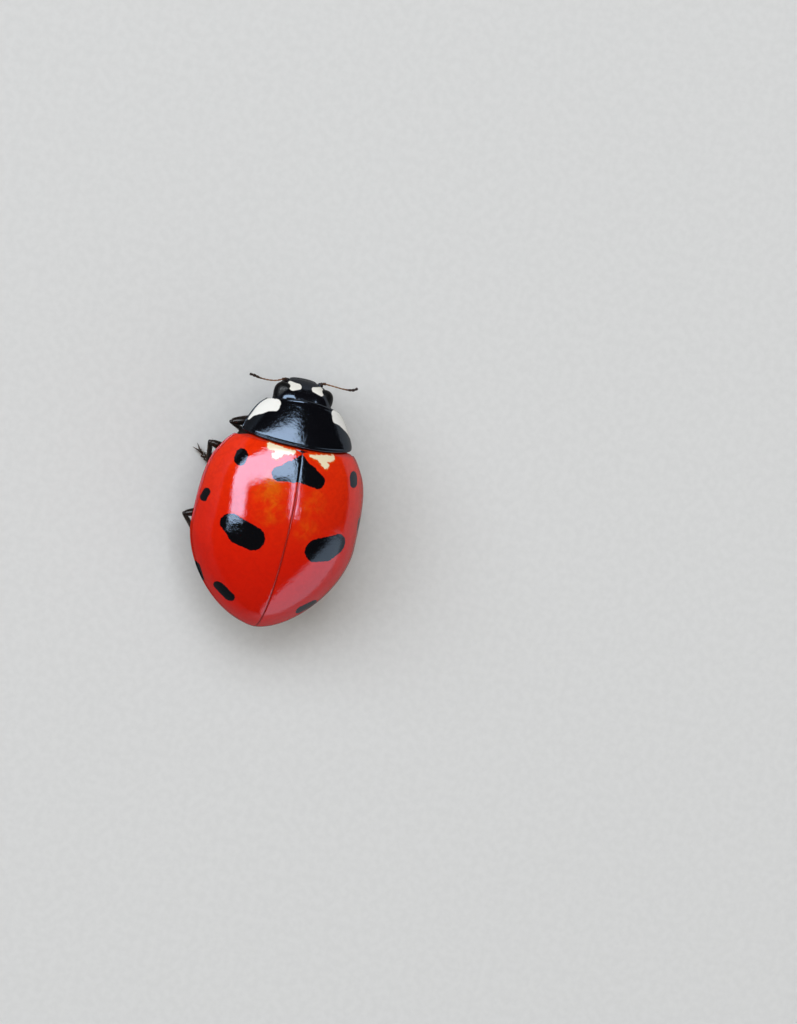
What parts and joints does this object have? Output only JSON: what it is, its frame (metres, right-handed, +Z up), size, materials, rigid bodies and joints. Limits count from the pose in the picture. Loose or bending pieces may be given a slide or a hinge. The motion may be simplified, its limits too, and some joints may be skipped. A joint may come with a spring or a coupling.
{
  "type": "ladybird",
  "caption": "Ladybird beetle standing still with its legs half drawn in, glossy red wing cases with black spots, black head and thorax.",
  "frame": {"origin": "centre of the whole box in plan, on the floor that the feet stand on", "axes": "+Z up, the head points to -Y and the tail to +Y, +X is the animal's own left"},
  "size_m": [0.004, 0.0058, 0.0025],
  "materials": {
    "red_shell": "glossy waxy red shell with black spots",
    "black_shell": "glossy black shell with fine pits and pale marks",
    "eye": "glossy black, finely faceted",
    "leg": "semi-gloss black-brown with short hairs",
    "feeler": "satin brown",
    "belly": "satin black with fine pits and hairs"
  },
  "bodies": {
    "root": {"scutellum": "black_shell", "elytron_left": "red_shell", "elytron_right": "red_shell", "pronotum": "black_shell", "mesothorax": "belly", "metathorax": "belly", "abdomen": "belly", "prothorax": "belly", "eye_left": "eye", "eye_right": "eye", "labrum": "black_shell", "head": "black_shell", "antenna_left": "feeler", "antenna_right": "feeler", "palp_left": "feeler", "palp_right": "feeler", "front_left_coxa": "leg", "front_left_femur": "leg", "front_left_tibia": "leg", "front_left_tarsus": "leg", "front_right_coxa": "leg", "front_right_femur": "leg", "front_right_tibia": "leg", "front_right_tarsus": "leg", "mid_left_coxa": "leg", "mid_left_femur": "leg", "mid_left_tibia": "leg", "mid_left_tarsus": "leg", "mid_right_coxa": "leg", "mid_right_femur": "leg", "mid_right_tibia": "leg", "mid_right_tarsus": "leg", "hind_left_coxa": "leg", "hind_left_femur": "leg", "hind_left_tibia": "leg", "hind_left_tarsus": "leg", "hind_right_coxa": "leg", "hind_right_femur": "leg", "hind_right_tibia": "leg", "hind_right_tarsus": "leg"}
  },
  "joints": []
}
